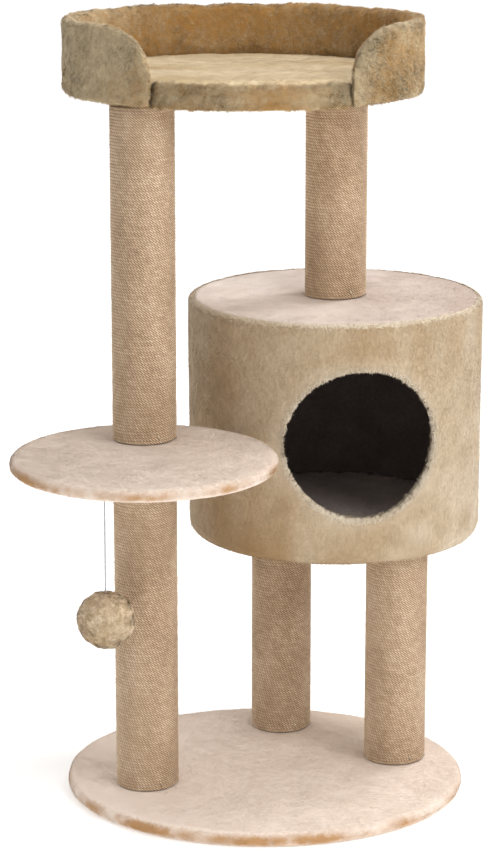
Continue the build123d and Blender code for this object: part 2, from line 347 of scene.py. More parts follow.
# %% Every cloth on the tree
ALONG_X, ALONG_Z = (0.35, 1, 1), (1, 1, 0.4)      # how the brush strokes are stretched
deck_plush = plush("deck_plush", srgb(246, 232, 220), srgb(226, 210, 195), srgb(192, 150, 106),
                   0.95, brush=ALONG_X)
# The roof's third shade is the darker one that its painted shade on the right mixes in.
roof_plush = plush("roof_plush", srgb(240, 230, 222), srgb(222, 209, 201), srgb(196, 178, 166),
                   0.95, brush=ALONG_X)
side_plush = plush("side_plush", srgb(208, 192, 168), srgb(180, 158, 128), srgb(170, 141, 103),
                   brush=ALONG_Z)
# The bed's golden shade serves its golden patches and the painted warm shade inside it.
bed_plush = plush("bed_plush", srgb(206, 187, 153), srgb(90, 76, 52), srgb(184, 140, 82), 0.74,
                  patch=22.0)
nest_plush = plush("nest_plush", srgb(230, 212, 180), srgb(202, 180, 142), srgb(190, 160, 110),
                   0.9, brush=ALONG_X)
ball_yarn = plush("ball_yarn", srgb(232, 214, 188), srgb(184, 160, 126), srgb(160, 130, 90), 0.8,
                  patch=90.0)
dark_cloth = plush("dark_cloth", srgb(150, 136, 131), srgb(116, 104, 100), srgb(60, 50, 46), 0.75)
cut_edge = plush("cut_edge", srgb(224, 211, 190), srgb(194, 176, 150), srgb(184, 156, 118), 0.85)
mat_plush = plush("mat_plush", srgb(222, 206, 198), srgb(190, 174, 166), srgb(140, 124, 116), 0.8)

print("nine cloths dyed")

# %% [markdown]
# ## Sisal
#
# Sisal is a stiff plant fibre, twisted but never dyed, so each strand has its own straw
# shade and the grooves between strands are in shadow.  The rope's mesh says which strand
# a point belongs to and how deep it lies, and the material colours it from that.

# %% Sisal
def sisal_finish():
    """Rough twisted fibre: each strand has its own shade, and the grooves are dark."""
    material, tree, shader = finish("sisal", 0.8, sheen=0.1, specular=0.25)
    fibres = noise_in(tree, 420.0, 3.0, (1, 1, 2.5))
    bands = noise_in(tree, 26.0, 2.0, (1, 1, 0.5))
    shade = sums(tree, "ADD", sums(tree, "MULTIPLY", number_from(tree, "tone"), 0.15),
                 sums(tree, "ADD", sums(tree, "MULTIPLY", fibres, 0.45),
                      sums(tree, "MULTIPLY", bands, 0.35)))
    colour = ramp(tree, shade, [(0.2, srgb(160, 133, 104)), (0.5, srgb(210, 184, 153)),
                                (0.8, srgb(250, 234, 208))])
    groove = ramp(tree, number_from(tree, "groove"),
                  [(0.15, (1, 1, 1)), (0.85, srgb(122, 90, 64))])
    colour = blend_of(tree, "MULTIPLY", 1.0, colour, groove)
    tree.links.new(colour, shader.inputs["Base Color"])
    bump(tree, shader, noise_in(tree, 900.0, 2.0, (1, 1, 3)), 0.5, 0.0006)
    return material


sisal = sisal_finish()
print("sisal ready")

# %% [markdown]
# ## Wood, metal, paper and felt
#
# The structure is the frame's own: boards, tubes, plugs and bolts are already the right
# shape.  They only need a finish each.  Two close shades in a fine grain are enough,
# stretched where the real stuff has a direction, as turned wood has.

# %% Stock finishes
def mottled(name, first, second, scale, roughness, metal=0.0, depth=0.2, stretch=(1, 1, 1)):
    """A plain stock material: two close shades in a fine grain."""
    material, tree, shader = finish(name, roughness)
    shader.inputs["Metallic"].default_value = metal
    grain = noise_in(tree, scale, 4.0, stretch)
    tree.links.new(ramp(tree, grain, [(0.35, first), (0.65, second)]),
                   shader.inputs["Base Color"])
    bump(tree, shader, grain, depth, 0.0005)
    return material


stock = {
    "zinc_steel": mottled("zinc_plate", srgb(190, 192, 196), srgb(214, 215, 218), 300, 0.35, 1.0),
    "staple_wire": mottled("staple_wire", srgb(200, 190, 168), srgb(230, 222, 204), 400, 0.4, 1.0),
    "paper_tube": mottled("tube_paper", srgb(150, 118, 84), srgb(176, 144, 106), 90, 0.9),
    "turned_wood": mottled("turned_wood", srgb(196, 158, 112), srgb(220, 186, 140), 60, 0.7,
                           stretch=(1, 1, 0.2)),
    "particle_board": mottled("chip_board", srgb(176, 144, 102), srgb(214, 186, 144), 240, 0.85),
    "bent_fibreboard": mottled("fibre_board", srgb(120, 88, 58), srgb(146, 112, 78), 200, 0.8),
    "underside_felt": mottled("grey_felt", srgb(70, 66, 62), srgb(96, 92, 88), 900, 1.0,
                              depth=0.8),
    "upholstery_foam": mottled("foam", srgb(226, 216, 180), srgb(240, 232, 204), 700, 1.0,
                               depth=0.7),
    "grey_cord": mottled("grey_elastic", srgb(150, 150, 152), srgb(196, 196, 198), 1400, 0.7,
                         depth=0.6, stretch=(1, 1, 0.3)),
}
print(len(stock), "stock finishes")

# %% [markdown]
# Every node in the record names its material slot, so one loop gives each of them its
# finish.  The soft nodes get theirs too, though a better piece will stand for them.

# %% Finish the frame's own nodes
soft_slots = {"deck_plush": deck_plush, "side_plush": side_plush, "nest_plush": nest_plush,
              "dark_lining": dark_cloth, "sisal_rope": sisal, "ball_yarn": ball_yarn}
for part in frame["record"]["subparts"]:
    node = frame["nodes"][part["node"]]
    node.data.materials.clear()
    node.data.materials.append({**stock, **soft_slots}[part["material_slot"]])
print(len(stock) + len(soft_slots), "finishes")

# %% [markdown]
# ## Plush over a board
#
# A cover is drawn tight over foam and board, so upholstery starts from what is under it.
# It could be modelled by hand, face by face.  Here the frame's solids for one part are
# copied into one closed mesh, made into even quads with a voxel remesh, rounded by
# smoothing, and drawn in a little so that the pile's tips end where the real cloth does.
# The same steps then serve the base, the perch, the cabin, the bed and the ball.

# %% Upholster
def copy_of(name, nodes):
    """One mesh piece with the shapes of several nodes in it."""
    shape = bmesh.new()
    for node in nodes:
        shape.from_mesh(frame["nodes"][node].data)
    mesh = bpy.data.meshes.new(name)
    shape.to_mesh(mesh)
    shape.free()
    piece = bpy.data.objects.new(name, mesh)
    bpy.context.scene.collection.objects.link(piece)
    return piece


def upholster(name, nodes, voxel, rounding, sink, lumps=0.0, lump_size=0.05, seed=1):
    """One rounded closed skin round the named nodes."""
    piece = copy_of(name, nodes)
    quads = piece.modifiers.new("even_quads", "REMESH")
    quads.mode = "VOXEL"
    quads.voxel_size = voxel
    quads.use_smooth_shade = True
    soften = piece.modifiers.new("rounded_edges", "SMOOTH")
    soften.factor, soften.iterations = 0.5, rounding
    settle(piece)
    points, normals = points_of(piece)
    lift = -sink + lumps * uneven(points, lump_size, seed)
    set_points(piece, points + normals * lift[:, None])
    return piece


print("covers start from voxels")

# %% [markdown]
# Between the blades of pile the skin itself shows.  It gets the same painted numbers as
# the pile, so that a thin place looks like shorter plush and not like a bare shell.

# %% Colour the skin
def shade_skin(skin, paints=None):
    """Numbers for the cloth between the blades: middling tone, half-way to the tips."""
    points, normals = points_of(skin)
    paint(skin, "tone", 0.35 + 0.3 * uneven(points, 2.5 * MM, 2))
    # The skin's `tip` of 0.45 gives it part of the pile's painted shade near the cloth.
    paint(skin, "tip", np.full(len(points), 0.45))
    for shade, amount in (paints or {}).items():
        paint(skin, shade, np.clip(amount(points, normals), 0, 1))


print("skins take tone, tip and their own paints")

# %% [markdown]
# ## Padding that swells
#
# A stuffed pad bulges where nothing holds it and stays put where it is glued or sewn.
# Cloth simulation finds that shape: the skin starts a little small, pressure blows it up
# from inside with gravity off, the held points stay, and no point may move further than
# a cap.  The result is kept as plain mesh and subdivided once.

# %% Swell and subdivide
def puff(piece, held, pressure=4.0, cap=6 * MM, frames=20):
    """Swell a pad by cloth simulation; held(points, normals) is 1 where it is fixed."""
    before, normals = points_of(piece)
    group = piece.vertex_groups.new(name="held")
    hold = held(before, normals)
    for level in (1.0, 0.5):
        chosen = np.nonzero(np.abs(hold - level) < 0.25)[0]
        group.add([int(n) for n in chosen], level, "REPLACE")
    cloth = piece.modifiers.new("swelling", "CLOTH")
    cloth.settings.quality = 4
    cloth.settings.mass = 0.15
    cloth.settings.use_pressure = True
    cloth.settings.uniform_pressure_force = pressure
    cloth.settings.effector_weights.gravity = 0
    cloth.settings.vertex_group_mass = "held"
    cloth.point_cache.frame_start, cloth.point_cache.frame_end = 1, frames
    for moment in range(1, frames + 1):
        bpy.context.scene.frame_set(moment)
    swollen = piece.evaluated_get(bpy.context.evaluated_depsgraph_get())
    after = np.empty(len(before) * 3)
    swollen.data.vertices.foreach_get("co", after)
    move = after.reshape(-1, 3) - before
    far = np.linalg.norm(move, axis=1, keepdims=True)
    move *= np.minimum(1, cap / np.maximum(far, 1e-9))
    piece.modifiers.clear()
    piece.vertex_groups.clear()
    bpy.context.scene.frame_set(1)
    set_points(piece, before + move)
    print(piece.name, "swelled", np.round(np.percentile(far, [50, 90, 99]) / MM, 1), "mm")
    finer = piece.modifiers.new("finer", "SUBSURF")
    finer.levels = finer.render_levels = 1
    settle(piece)


print("pads swell")

# %% [markdown]
# ## Pile
#
# The pile is real geometry: short narrow blades that stand on the skin, lean the way
# the cloth was brushed and may curl over towards their tips.  Hair particles would be
# quicker to set up, but blades stay ordinary mesh, so they can leave Blender as they are.
# Dense pile lights softly, because light soaks through it, so the blades borrow most of
# their shading direction from the cloth that they stand on.

# %% Where blades stand
BLADE_SHAPES = {1: ([[0, 2, 1]], [0.0, 0.0, 1.0]),
                2: ([[0, 3, 1], [0, 2, 3], [2, 4, 3]], [0.0, 0.0, 0.6, 0.6, 1.0])}


def scatter(skin, count, draw, keep=None):
    """Evenly spread places on a skin, with the skin's normals there."""
    mesh = skin.data
    mesh.calc_loop_triangles()
    triangles = np.empty(len(mesh.loop_triangles) * 3, dtype=np.int32)
    mesh.loop_triangles.foreach_get("vertices", triangles)
    triangles = triangles.reshape(-1, 3)
    points, normals = points_of(skin)
    a, b, c = (points[triangles[:, k]] for k in range(3))
    area = np.linalg.norm(np.cross(b - a, c - a), axis=1) / 2
    if keep is not None:
        area = area * keep((a + b + c) / 3, unit(normals[triangles].mean(axis=1)))
    chosen = np.searchsorted(np.cumsum(area) / area.sum(), draw.random(count))
    chosen = np.minimum(chosen, len(area) - 1)
    u, v = draw.random(count), draw.random(count)
    flip = u + v > 1
    u[flip], v[flip] = 1 - u[flip], 1 - v[flip]
    share = np.stack([1 - u - v, u, v], axis=1)[:, :, None]
    return ((points[triangles[chosen]] * share).sum(axis=1),
            unit((normals[triangles[chosen]] * share).sum(axis=1)))


print("blades have", [len(faces) for faces, heights in BLADE_SHAPES.values()], "triangles")

# %% [markdown]
# A blade is a root, a direction along the cloth and a rise above it.  Neighbouring
# blades share most of their lay, with some disorder and some clumping.  A blade that
# rises too steeply on level cloth shows its dark back to a low camera, so the covers on
# the decks lie almost flat.

# %% Grow the pile
def grow_pile(name, skin, count, length, width, lay, rise=(0.45,), jitter=0.5, seed=1,
              keep=None, paints=None, clump=0.35, clump_size=0.007, soft=0.75):
    """Blades on a skin that lean along lay(points, normals), rise radians above it."""
    draw = np.random.default_rng(seed)
    root, up = scatter(skin, count, draw, keep)
    along = lay(root, up)
    along = unit(along - (along * up).sum(axis=1, keepdims=True) * up)
    side = np.cross(up, along)
    swirl = jitter * (draw.normal(size=count) * 0.6 + clump * 3 * uneven(root, clump_size, seed))
    along = along * np.cos(swirl)[:, None] + side * np.sin(swirl)[:, None]
    side = np.cross(up, along)
    grow = length * (0.75 + 0.5 * draw.random(count))
    grow = grow * (1 + clump * uneven(root, clump_size, seed + 5))
    lean = 1 + 0.35 * uneven(root, clump_size * 1.6, seed + 9) + 0.15 * draw.normal(size=count)
    half = side * (width / 2) * (0.8 + 0.4 * draw.random(count))[:, None]
    start = root - up * 0.15 * MM
    ladder, at = [start - half, start + half], start
    for number, angle in enumerate(rise, start=1):
        angle = angle * lean
        step = np.cos(angle)[:, None] * along + np.sin(angle)[:, None] * up
        at = at + step * (grow / len(rise))[:, None]
        ladder += [at] if number == len(rise) else [at - half * 0.85, at + half * 0.85]
    blade = np.stack(ladder, axis=1).reshape(-1, 3)
    blade[:, 2] = np.maximum(blade[:, 2], 0.2 * MM)
    pattern, heights = BLADE_SHAPES[len(rise)]
    each = len(heights)
    faces = (np.arange(count)[:, None, None] * each + np.array(pattern)).reshape(-1, 3)
    pile = mesh_piece(name, blade, faces)
    facing = unit(up * soft + unit(np.cross(step, side)) * (1 - soft))
    pile.data.normals_split_custom_set_from_vertices(np.repeat(facing, each, axis=0))
    paint(pile, "tip", np.tile(heights, count))
    paint(pile, "tone", np.repeat(draw.random(count) ** 2, each))
    for shade, amount in (paints or {}).items():
        paint(pile, shade, np.repeat(np.clip(amount(root, up), 0, 1), each))
    return pile


print("pile grows at a rise of", round(math.degrees(0.45)), "degrees unless told")

# %% [markdown]
# Plush is brushed one way in the mill.  The lay follows that direction and wanders a
# little, which gives the cloth its large soft patches.

# %% Lay and finish
def brushed(direction, wander=0.4, size=0.05, seed=3):
    """A lay that follows one direction and wanders a little."""
    def lay(points, normals):
        base = np.tile(np.array(direction, dtype=float), (len(points), 1))
        for axis in range(3):
            base[:, axis] += wander * uneven(points, size, seed + axis)
        return base
    return lay


def wear(pieces, material, body="tree"):
    for piece in pieces:
        piece.data.materials.clear()
        piece.data.materials.append(material)
        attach(piece, body)


# %% [markdown]
# ## The base and the perch
#
# Both are discs of board with plush drawn over the top and round the rim, and stapled
# underneath.  The pile lies flat on top.  On the rim it is bent apart, so the golden
# backing shows between the tufts: that is painted on as `warm`.

# %% Gold on a rim
def rim_gold(amount, seed):
    def warm(points, normals):
        edge = np.clip(1.3 - np.abs(normals[:, 2]) * 1.4, 0, 1)
        return amount * edge * (0.62 + 1.0 * uneven(points, 0.045, seed)
                                + 0.35 * uneven(points, 0.008, seed + 1))
    return {"warm": warm}


sample_point, upright_rim = np.zeros((1, 3)), np.array([[1.0, 0, 0]])
print("gold on an upright rim", np.round(rim_gold(1.0, 11)["warm"](sample_point, upright_rim), 2))

# %% [markdown]
# A cover is a strip bent over an edge, and it bulges a little half-way down the rim.
# The bulge could be sculpted.  Moving each point out by a smooth curve of its height,
# varied by noise, gives the same soft edge all the way round.

# %% Dress a deck
RIM_BULGE = 1.2 * MM
DECK_SINK = 0.5 * MM
DECK_RISE = 0.15             # radians: the pile lies almost flat
FINE_VOXEL = 3 * MM


def dress_deck(name, count, seed, paints):
    skin = upholster(f"{name}_plush", [f"{name}_cover", f"{name}_board"], FINE_VOXEL, 2,
                     DECK_SINK, 0.3 * MM, 0.02, seed)
    points, normals = points_of(skin)
    low, high = points[:, 2].min(), points[:, 2].max()
    level = np.clip((points[:, 2] - low) / (high - low) * 2 - 1, -1, 1)
    rim = np.clip(1 - np.abs(normals[:, 2]) * 1.2, 0, 1)
    tufts = 1.3 + 0.9 * uneven(points, 0.011, seed + 1)
    points += normals * (RIM_BULGE * rim * (1 - level ** 2) * tufts)[:, None]
    set_points(skin, points)
    shade_skin(skin, paints)
    pile = grow_pile(f"{name}_pile", skin, count, 4 * MM, 1.0 * MM,
                     brushed((1, -0.35, 0), 0.2, 0.06, seed), (DECK_RISE,), 1.1, seed,
                     clump=0.12,
                     keep=lambda p, n: np.where(n[:, 2] > -0.5, 1.0, 0.05), paints=paints)
    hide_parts(f"{name}_cover")
    wear([skin, pile], deck_plush)


print("rims bulge by", round(RIM_BULGE / MM, 1), "mm")

# %% [markdown]
# The base is a board on the floor and the perch is one half-way up.  Seen together they
# must look cut from one roll, so both use one function, with a seed each.  The base's top
# is painted paler on its left, as painted light that evens out the shade falling there.

# %% Base and perch
BASE_BLADES, PERCH_BLADES = 150000, 90000


# Painted light: the base's upward faces get paler towards the left.
def painted_light_on_left(points, normals):
    return (0.3 - points[:, 0] / 0.25) * (normals[:, 2] > 0.8)


dress_deck("base", BASE_BLADES, 11, {**rim_gold(1.1, 11), "pale_and_lit": painted_light_on_left})
dress_deck("perch", PERCH_BLADES, 23, rim_gold(1.1, 23))
print("base and perch have", BASE_BLADES + PERCH_BLADES, "blades")

# %% [markdown]
# ## Thin cloth
#
# Felt under the base and the linings in the cabin are thin cloth glued flat.  A circle
# filled with triangles would pinch in the middle.  A square grid bent into a disc is all
# quads, takes the cloth's slight ripple, and is made as thick as the cloth with a
# Solidify modifier.

# %% Thin cloth
def thicken(piece, thick):
    body = piece.modifiers.new("cloth_thickness", "SOLIDIFY")
    body.thickness, body.offset = thick, 0
    settle(piece)


def grid_faces(rows, columns):
    corner = np.arange(rows - 1)[:, None] * columns + np.arange(columns - 1)[None, :]
    return np.stack([corner, corner + 1, corner + columns + 1, corner + columns],
                    axis=2).reshape(-1, 4)


def round_cloth(name, node, material, cell=7 * MM, ripple=0.15 * MM, seed=1):
    low, high = corners(node)
    middle, half = (low + high) / 2, (high - low) / 2
    count = int(2 * half[0] / cell)
    u, v = np.meshgrid(np.linspace(-1, 1, count), np.linspace(-1, 1, count), indexing="ij")
    x, y = u * np.sqrt(1 - v * v / 2), v * np.sqrt(1 - u * u / 2)
    points = np.stack([middle[0] + x * half[0], middle[1] + y * half[1],
                       np.full(u.shape, middle[2])], axis=2).reshape(-1, 3)
    points[:, 2] += ripple * uneven(points, 0.03, seed)
    cloth = mesh_piece(name, points, grid_faces(count, count))
    thicken(cloth, 2 * half[2] - 2 * ripple)
    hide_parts(node)
    wear([cloth], material)


round_cloth("base_felt_cloth", "base_felt", stock["underside_felt"], seed=5)
round_cloth("cabin_underside_cloth", "cabin_underside_cover", side_plush, seed=6)
round_cloth("cabin_ceiling_cloth", "cabin_ceiling_lining", dark_cloth, seed=7)
print("thin cloth laid")

# %% [markdown]
# ## The cabin
#
# A bent panel is wrapped in foam and plush, which turns in round the door.  The roof is a
# disc of paler plush let in flush with the top of the wrap.  First the cabin's own
# measures are read from the frame, so that every later cell can find the door.

# %% The cabin's measures
DOOR_TURN = math.radians(9)  # the door faces a little to the right
DOOR_EDGE = 3 * MM
cabin_low, cabin_high = corners("cabin_side_cover")
cabin_middle = (cabin_low + cabin_high) / 2
door_low, door_high = corners("cabin_door_edging")
DOOR_Z = (door_low[2] + door_high[2]) / 2
DOOR_R = (door_high[2] - door_low[2]) / 2 - DOOR_EDGE
door_out = np.array([math.sin(DOOR_TURN), -math.cos(DOOR_TURN)])
door_across = np.array([math.cos(DOOR_TURN), math.sin(DOOR_TURN)])

print("door", round(2 * DOOR_R / MM), "mm across, middle", round(DOOR_Z / MM), "mm up")

# %% [markdown]
# The wrap could be a cylinder with a hole cut in it.  Starting from the panel, the cover
# and the door's edging together gives one closed skin that turns in round the door as
# the real cloth does.

# %% The wrap
wrap = upholster("cabin_wrap", ["cabin_side_cover", "cabin_wall_panel", "cabin_door_edging"],
                 3.5 * MM, 3, 1.6 * MM, 0.8 * MM, 0.05, 31)
print("wrap", len(wrap.data.vertices), "points")

# %% [markdown]
# The wrap is paler and greyer round the door and low on the right, in soft patches, and
# more golden towards its foot.

# %% Paint for the wrap
FAR_AWAY = 9.0               # metres, for points behind the cabin


def from_door(points):
    """How far each point is from the door's axis, and the direction towards that axis."""
    flat = points[:, :2] - cabin_middle[:2]
    across = flat @ door_across
    up = points[:, 2] - DOOR_Z
    inward = np.stack([-across * door_across[0], -across * door_across[1], -up], axis=1)
    in_front = flat @ door_out > 0
    return np.where(in_front, np.hypot(across, up), FAR_AWAY), unit(inward)


def wrap_shows(points, normals):
    """The panel's inner face is hidden by the lining, so it grows no pile."""
    out = unit(points[:, :2] - cabin_middle[:2])
    inward = (normals[:, :2] * out).sum(axis=1) < -0.6
    return np.where(inward, 0.0, 1.0)


def paler_by_door_and_low_right(points, normals):
    """Greyer and paler low on the right, in soft patches, and round the door."""
    near_door = np.clip(1.6 - np.abs(from_door(points)[0] - DOOR_R) / (14 * MM), 0, 1)
    side = np.clip((points[:, 0] - cabin_middle[0]) / (150 * MM), 0, 1)
    low = np.clip(1.3 - (points[:, 2] - cabin_low[2]) / (200 * MM), 0, 1)
    return np.maximum(0.4 * near_door, 1.3 * side * low * (0.6 + 0.5 * uneven(points, 0.03, 4)))


# More golden in upright patches, and most towards the foot.
def golden_patches_and_foot(points, normals):
    low = np.clip(1 - (points[:, 2] - cabin_low[2]) / (120 * MM), 0, 1)
    return 0.15 + 0.5 * uneven(points * [1, 1, 0.5], 0.035, 12) + 0.45 * low


wrap_paints = {"pale_and_lit": paler_by_door_and_low_right, "warm": golden_patches_and_foot}
shade_skin(wrap, wrap_paints)
print("wrap painted", sorted(wrap_paints))

# %% [markdown]
# The cabin's pile is combed downwards and lies close, so that light slides along it in
# upright strokes.  None grows inside, where the lining hides the wrap.

# %% Pile on the wrap
WRAP_BLADES = 190000
wrap_pile = grow_pile("cabin_pile", wrap, WRAP_BLADES, 4 * MM, 0.85 * MM,
                      brushed((0.25, 0, -1), 0.25, 0.06, 33), (0.33,), 0.9, 33, clump=0.15,
                      keep=wrap_shows, paints=wrap_paints)
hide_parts("cabin_side_cover", "cabin_door_edging")
wear([wrap, wrap_pile], side_plush)
print("cabin pile", len(wrap_pile.data.polygons), "blades")

# %% [markdown]
# The plush was cut by hand round the door and along the roof's seam, so it frays there.
# Loose threads could be drawn one by one.  It is quicker to say where fraying happens,
# as a number from 0 to 1, and which way the threads point.

# %% Where the wrap frays
def towards_door(points, normals):
    return from_door(points)[1] + 0.25 * np.stack(
        [uneven(points, 0.006, s) for s in (35, 36, 37)], axis=1)


def by_door(points, normals):
    ring = np.clip(1 - np.abs(from_door(points)[0] - DOOR_R - 1 * MM) / (7 * MM), 0, 1)
    low = np.clip((DOOR_Z - points[:, 2]) / (2 * DOOR_R) + 0.5, 0, 1)
    return ring * (0.35 + 0.65 * low)


SEAM_R = 182 * MM            # where the roof's cover meets the wrap
SEAM_DROP = 7 * MM


def by_roof(points, normals):
    out = np.linalg.norm(points[:, :2] - cabin_middle[:2], axis=1)
    return ((points[:, 2] > cabin_high[2] - SEAM_DROP) & (out > SEAM_R)).astype(float)


def towards_roof(points, normals):
    flat = cabin_middle - points
    flat[:, 2] = 0
    return unit(flat) + 0.8 * np.stack([uneven(points, 0.01, s) for s in (45, 46, 47)], axis=1)


DOOR_FRAY, ROOF_FRAY = 22000, 20000
print("frayed near the door:", int((by_door(*points_of(wrap)) > 0.2).sum()), "points")

# %% [markdown]
# Then narrower, looser blades grow on those two edges alone, in the paler shade of cut
# backing.

# %% Frayed edges
door_fray = grow_pile("cabin_door_fray", wrap, DOOR_FRAY, 5 * MM, 0.6 * MM, towards_door,
                      (0.6, 0.3), 0.9, 39, keep=by_door,
                      paints={"pale_and_lit": lambda p, n: 0.5 + 0.5 * uneven(p, 0.03, 38)},
                      clump=0.35, clump_size=0.004)
roof_fray = grow_pile("cabin_roof_fray", wrap, ROOF_FRAY, 4 * MM, 0.8 * MM, towards_roof,
                      (0.2, 0.05), 1.0, 48, keep=by_roof, clump=0.3, clump_size=0.006,
                      paints={"pale_and_lit": lambda p, n: 0.5 + 0.6 * uneven(p, 0.03, 8)})
wear([door_fray, roof_fray], cut_edge)
print("edges frayed with", DOOR_FRAY + ROOF_FRAY, "threads")

# %% [markdown]
# ## The cabin's roof
#
# The roof is a round board under plush, and the post above stands in its middle.  It is
# made as the base was, from the cover and the board together, so that nothing of the
# board shows between the blades.

# %% Roof
ROOF_BLADES = 110000
roof = upholster("cabin_roof_plush", ["cabin_roof_cover", "cabin_roof_board"], FINE_VOXEL, 3,
                 0.2 * MM, 0.4 * MM, 0.03, 41)


def painted_shade_on_right(points, normals):
    """Painted shade: darker on the right half of the roof, in soft patches."""
    return 0.45 + (points[:, 0] - cabin_middle[0]) / (260 * MM) + 0.35 * uneven(points, 0.08, 42)


roof_paints = {"warm": painted_shade_on_right}
shade_skin(roof, roof_paints)
roof_pile = grow_pile("cabin_roof_pile", roof, ROOF_BLADES, 3.4 * MM, 0.7 * MM,
                      brushed((1, -0.2, 0), 0.15, 0.06, 43), (0.12,), 1.1, 43, clump=0.1,
                      keep=lambda p, n: np.where(n[:, 2] > 0.3, 1.0, 0.0), paints=roof_paints)
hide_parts("cabin_roof_cover")
wear([roof, roof_pile], roof_plush)
print("roof", round(roof.dimensions.x / MM), "mm across")

# %% [markdown]
# ## The mat in the cabin
#
# A thin loose cushion lies on the cabin's floor.  Its underside rests on the board, so
# only its top may swell, and it gets longer, more ruffled pile than the roof.

# %% Mat
MAT_BLADES = 50000
mat = upholster("cabin_mat", ["cabin_floor_mat"], 5 * MM, 3, 2 * MM, 1.0 * MM, 0.06, 51)
puff(mat, lambda p, n: (n[:, 2] < -0.3).astype(float), cap=4 * MM)
shade_skin(mat)
mat_pile = grow_pile("cabin_mat_pile", mat, MAT_BLADES, 5 * MM, 0.9 * MM,
                     brushed((1, 0.3, 0), 0.6, 0.05, 53), (0.5,), 0.6, 53,
                     keep=lambda p, n: np.where(n[:, 2] > 0.2, 1.0, 0.0))
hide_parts("cabin_floor_mat")
wear([mat, mat_pile], mat_plush)
print("mat", round(mat.dimensions.z / MM), "mm thick")

# %% [markdown]
# ## The cabin's lining
#
# The wall is lined with thin dark cloth, with a hole for the door.  Cutting the hole with
# a boolean would leave long thin faces.  Here a curved grid loses the cells inside the
# hole, and the points left on its edge are drawn out to the circle.

# %% Lining
lining_low, lining_high = corners("cabin_wall_lining")
LINING = 1.5 * MM
COLUMNS, ROWS = 281, 75
lining_r = (lining_high[0] - lining_low[0]) / 2 - LINING / 2
around = np.linspace(0, 2 * math.pi, COLUMNS)
levels = np.linspace(lining_low[2], lining_high[2], ROWS)
angle, level = np.meshgrid(around, levels, indexing="ij")
sheet = np.stack([cabin_middle[0] + lining_r * np.cos(angle),
                  cabin_middle[1] + lining_r * np.sin(angle), level], axis=2).reshape(-1, 3)
cells = grid_faces(len(around), len(levels))
door_gap, inward = from_door(sheet)
hole = DOOR_R + DOOR_EDGE
cells = cells[(door_gap[cells] > hole).sum(axis=1) > 1]
used, cells = np.unique(cells, return_inverse=True)
inside = (door_gap < hole)[used]
sheet = sheet[used]
sheet[inside] += inward[used][inside] * (door_gap[used][inside] - hole)[:, None]
lining = mesh_piece("cabin_lining_cloth", sheet, cells.reshape(-1, 4))
thicken(lining, LINING * 0.8)
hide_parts("cabin_wall_lining")
wear([lining], dark_cloth)
print("cabin lined with", len(lining.data.polygons), "faces")

# %% [markdown]
# ## The bed's wall
#
# The wall is a bent board in foam and plush, open at the front where the cat steps in.
# It could be modelled as a bent tube.  A skin round the cover and its core keeps the
# rounded ends, and cloth simulation then swells it: its foot is glued down and stays,
# the part behind the floor moves a little, and the free part fills out.

# %% Bed wall
bed_low, bed_high = corners("bed_wall_cover")
bed_middle = (bed_low + bed_high) / 2
bed_half = (bed_high - bed_low) / 2
floor_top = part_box("bed_floor_cover")[1][2]
PAD_VOXEL = 4 * MM
GLUED_FOOT = 9 * MM          # the part of the wall's foot that is glued down


def wall_held(points, normals):
    behind_floor = np.where(points[:, 2] < floor_top, 0.5, 0.0)
    return np.where(points[:, 2] < bed_low[2] + GLUED_FOOT, 1.0, behind_floor)


wall = upholster("bed_wall_padding", ["bed_wall_cover", "bed_wall_core"], PAD_VOXEL, 10,
                 1.0 * MM, 1.0 * MM, 0.04, 61)
puff(wall, wall_held, cap=5 * MM)
print("bed", np.round(bed_half * 2 / MM), "mm")

# %% [markdown]
# Inside, out of the direct light, the plush is painted darker and golden, as painted shade
# warmed by light bounced round the bed.  Outside it is mottled sand with golden patches,
# painted paler as painted light where it rolls over the top, at the two ends and on the
# left.  Tufts a few millimetres apart run through all of it.

# %% Paint for the bed's wall
BED_Y = 40 * MM              # the middle of the bed's oval, from front to back
OVAL = 0.8                   # its depth as a share of its width
FRONT_Y = -60 * MM           # in front of this only the lip and the wall's ends are left
MOUTH_LEFT, MOUTH_RIGHT = -139 * MM, 102 * MM


def out_of_bed(points):
    return unit(np.stack([(points[:, 0] - bed_middle[0]) / bed_half[0],
                          (points[:, 1] - BED_Y) / bed_half[0] / OVAL], axis=1))


def tufty(points, seed):
    """Light and dark tufts, a few millimetres apart."""
    return 0.34 * uneven(points, 4 * MM, seed)


def warm_shade_and_gold(points, normals):
    """More golden where the wall faces the middle of the bed, most at the back, as painted warm
    shade, and in patches outside.
    """
    facing_in = -(normals[:, :2] * out_of_bed(points)).sum(axis=1)
    back = np.clip((points[:, 1] - BED_Y) / (180 * MM) + 0.7, 0, 1)
    inner = np.clip(facing_in * 1.6 + 0.25, 0, 1) * (0.4 + 0.6 * back)
    inner = inner * (0.82 + 0.3 * uneven(points * [0.4, 1, 1], 0.04, 66))
    return np.maximum(inner, 0.2 + 0.5 * uneven(points, 0.04, 62)) + tufty(points, 68)


